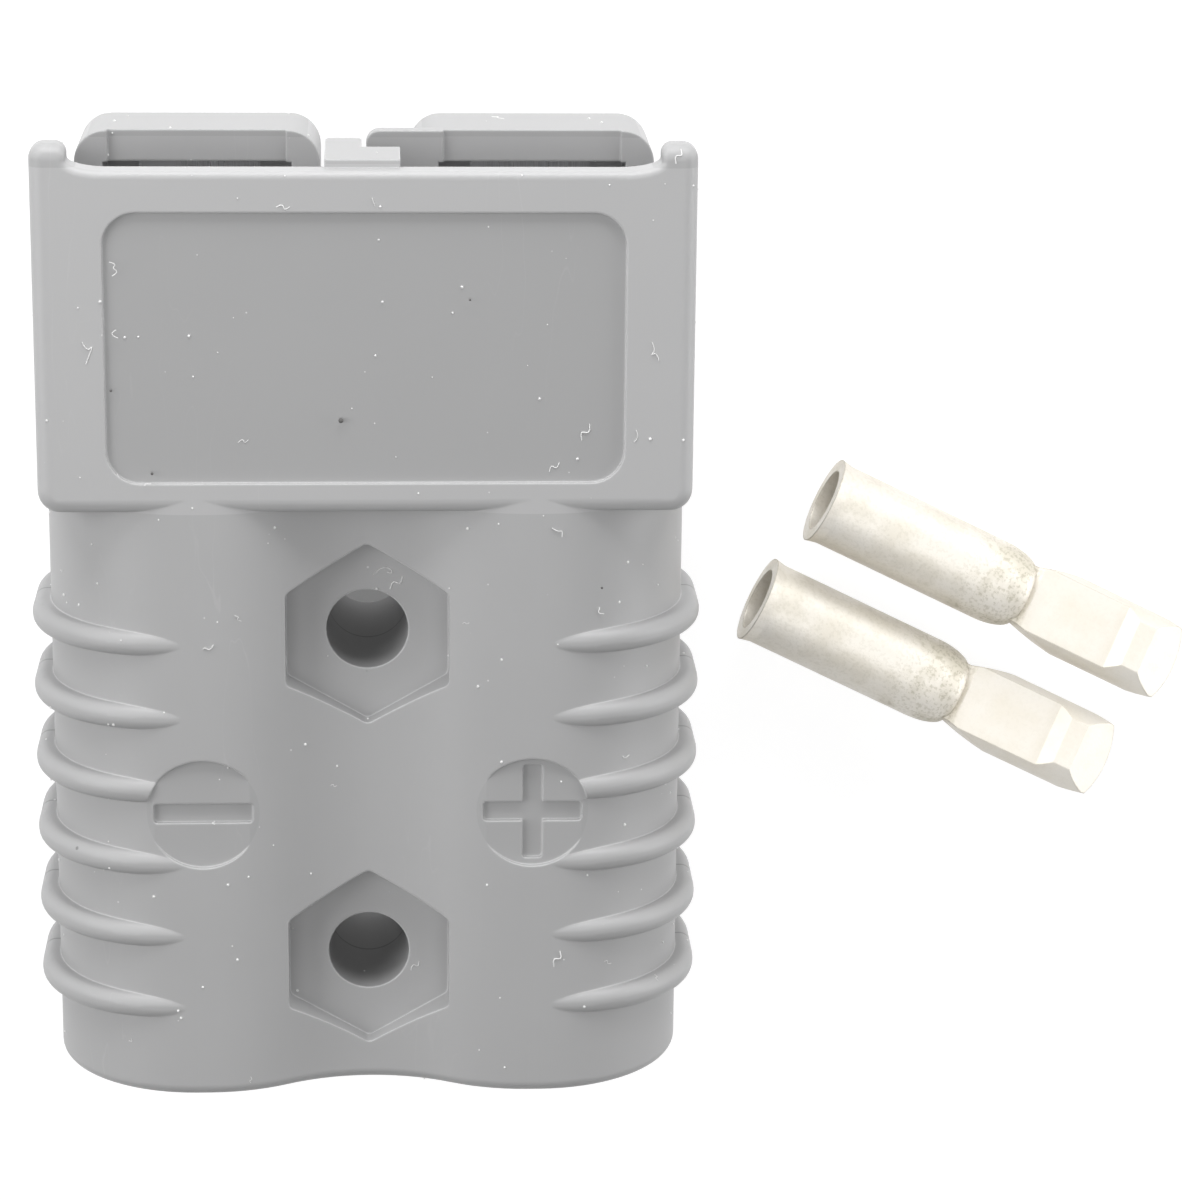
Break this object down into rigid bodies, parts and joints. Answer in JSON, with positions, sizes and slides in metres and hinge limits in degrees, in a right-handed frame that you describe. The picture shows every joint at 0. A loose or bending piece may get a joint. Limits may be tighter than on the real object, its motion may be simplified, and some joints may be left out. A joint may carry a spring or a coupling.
{
  "type": "genderless power connector",
  "caption": "Genderless power connector: moulded grey housing with lobed ribbed grip, and loose silvered crimp contacts beside it.",
  "frame": {"origin": "midway between the two mounting holes, on the parting plane at half the housing's thickness", "axes": "+Y runs out of the mouth along the mating direction, +Z out of the label side, +X to the plus side"},
  "size_m": [0.0994, 0.0801, 0.0276],
  "materials": {
    "housing_plastic": "satin moulded grey polycarbonate with a faint mould texture and fine lint",
    "contact_plating": "silver plate over copper, creamy white, with a little dark speckle at the shoulder",
    "spring_steel": "bright stainless strip"
  },
  "bodies": {
    "root": {"housing": "housing_plastic", "first_contact": "contact_plating", "second_contact": "contact_plating", "minus_spring": "spring_steel", "plus_spring": "spring_steel"}
  },
  "joints": []
}
